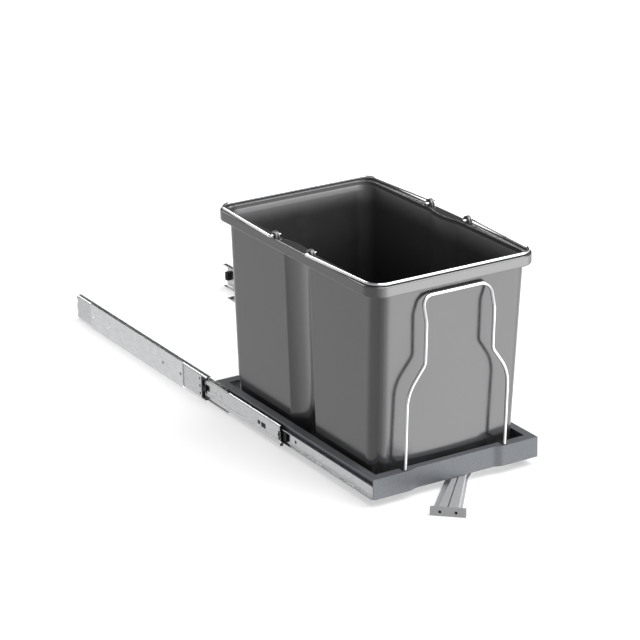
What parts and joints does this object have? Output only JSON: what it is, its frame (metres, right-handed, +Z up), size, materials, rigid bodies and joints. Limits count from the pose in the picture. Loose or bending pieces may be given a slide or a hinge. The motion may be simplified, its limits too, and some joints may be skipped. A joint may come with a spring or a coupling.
{
  "type": "pull out bin frame",
  "caption": "Pull-out waste bin: a sheet-steel frame on full-extension ball slides with mounting brackets, a lift-out bin with bails, a wire pull hoop and a brace bar.",
  "frame": {"origin": "on the floor, at the middle of the part's footprint with the frame pulled out", "axes": "+X to the right when facing the front rail from outside, seen from the front; +Y from the front rail into the cabinet; +Z up"},
  "size_m": [0.2636, 0.9204, 0.3014],
  "materials": {
    "frame_paint": "fine textured satin",
    "chrome_wire": "polished",
    "ball_steel": "polished",
    "fastener": "zinc plated",
    "black_plastic": "matt",
    "black_rubber": "matt",
    "zinc_sheet": "zinc plated",
    "zinc_steel": "zinc plated",
    "cage_steel": "zinc plated",
    "bin_plastic": "glossy",
    "clip_plastic": "glossy",
    "brace_aluminium": "mill finish",
    "plate_metal": "satin"
  },
  "bodies": {
    "cabinet_side": {"left_bracket": "zinc_sheet", "left_outer_member": "zinc_steel", "left_end_stop": "black_plastic", "left_bumper": "black_rubber", "right_bracket": "zinc_sheet", "right_outer_member": "zinc_steel", "right_end_stop": "black_plastic", "right_bumper": "black_rubber"},
    "carriage": {"front_rail": "frame_paint", "back_rail": "frame_paint", "left_rail": "frame_paint", "right_rail": "frame_paint", "pull_hoop": "chrome_wire", "hoop_sockets": "frame_paint", "left_inner_member": "zinc_steel", "left_rail_screws": "fastener", "left_lever_pin": "fastener", "right_inner_member": "zinc_steel", "right_rail_screws": "fastener", "right_lever_pin": "fastener"},
    "left_middle": {"left_middle_member": "zinc_steel", "left_middle_stop": "black_plastic"},
    "right_middle": {"right_middle_member": "zinc_steel", "right_middle_stop": "black_plastic"},
    "left_outer_race": {"left_outer_cage": "cage_steel", "left_outer_balls": "ball_steel"},
    "right_outer_race": {"right_outer_cage": "cage_steel", "right_outer_balls": "ball_steel"},
    "left_inner_race": {"left_inner_cage": "cage_steel", "left_inner_balls": "ball_steel"},
    "right_inner_race": {"right_inner_cage": "cage_steel", "right_inner_balls": "ball_steel"},
    "left_lever": {"left_release_lever": "black_plastic"},
    "right_lever": {"right_release_lever": "black_plastic"},
    "bin_body": {"bin": "bin_plastic", "front_left_clip": "clip_plastic", "front_right_clip": "clip_plastic", "rear_left_clip": "clip_plastic", "rear_right_clip": "clip_plastic"},
    "front_handle": {"front_bail": "chrome_wire"},
    "rear_handle": {"rear_bail": "chrome_wire"},
    "brace": {"brace_bar": "brace_aluminium", "front_brace_plate": "plate_metal", "rear_brace_plate": "plate_metal"}
  },
  "joints": [
    {"name": "frame_slide", "type": "slide", "parent": "cabinet_side", "child": "carriage", "axis": [0, 1, 0], "range_m": [0, 0.423]},
    {"name": "left_middle_slide", "type": "slide", "parent": "cabinet_side", "child": "left_middle", "axis": [0, 1, 0], "range_m": [0, 0.2116]},
    {"name": "left_outer_race_slide", "type": "slide", "parent": "cabinet_side", "child": "left_outer_race", "axis": [0, 1, 0], "range_m": [0, 0.10585]},
    {"name": "left_inner_race_slide", "type": "slide", "parent": "cabinet_side", "child": "left_inner_race", "axis": [0, 1, 0], "range_m": [0, 0.31735]},
    {"name": "right_middle_slide", "type": "slide", "parent": "cabinet_side", "child": "right_middle", "axis": [0, 1, 0], "range_m": [0, 0.2116]},
    {"name": "right_outer_race_slide", "type": "slide", "parent": "cabinet_side", "child": "right_outer_race", "axis": [0, 1, 0], "range_m": [0, 0.10585]},
    {"name": "right_inner_race_slide", "type": "slide", "parent": "cabinet_side", "child": "right_inner_race", "axis": [0, 1, 0], "range_m": [0, 0.31735]},
    {"name": "left_lever_hinge", "type": "hinge", "parent": "carriage", "child": "left_lever", "pos_m": [-0.1238, -0.13183, 0.0195], "axis": [1, 0, 0], "range_deg": [-3, 3], "stiffness_Nm_per_rad": 0.05},
    {"name": "right_lever_hinge", "type": "hinge", "parent": "carriage", "child": "right_lever", "pos_m": [0.1238, -0.13183, 0.0195], "axis": [1, 0, 0], "range_deg": [-3, 3], "stiffness_Nm_per_rad": 0.05},
    {"name": "bin_lift", "type": "slide", "parent": "carriage", "child": "bin_body", "axis": [0, 0, 1], "range_m": [0, 0.3]},
    {"name": "front_bail_hinge", "type": "hinge", "parent": "bin_body", "child": "front_handle", "pos_m": [0, -0.22188, 0.2954], "axis": [-1, 0, 0], "range_deg": [0, 90]},
    {"name": "rear_bail_hinge", "type": "hinge", "parent": "bin_body", "child": "rear_handle", "pos_m": [0, -0.13288, 0.2954], "axis": [1, 0, 0], "range_deg": [0, 90]},
    {"name": "brace_pull", "type": "slide", "parent": "cabinet_side", "child": "brace", "axis": [-0.6884, -0.7254, 0], "range_m": [0, 0.2]}
  ],
  "couplings": [
    {"joint": "left_middle_slide", "follows": "frame_slide", "ratio": 0.5},
    {"joint": "left_outer_race_slide", "follows": "frame_slide", "ratio": 0.25},
    {"joint": "left_inner_race_slide", "follows": "frame_slide", "ratio": 0.75},
    {"joint": "right_middle_slide", "follows": "frame_slide", "ratio": 0.5},
    {"joint": "right_outer_race_slide", "follows": "frame_slide", "ratio": 0.25},
    {"joint": "right_inner_race_slide", "follows": "frame_slide", "ratio": 0.75}
  ]
}
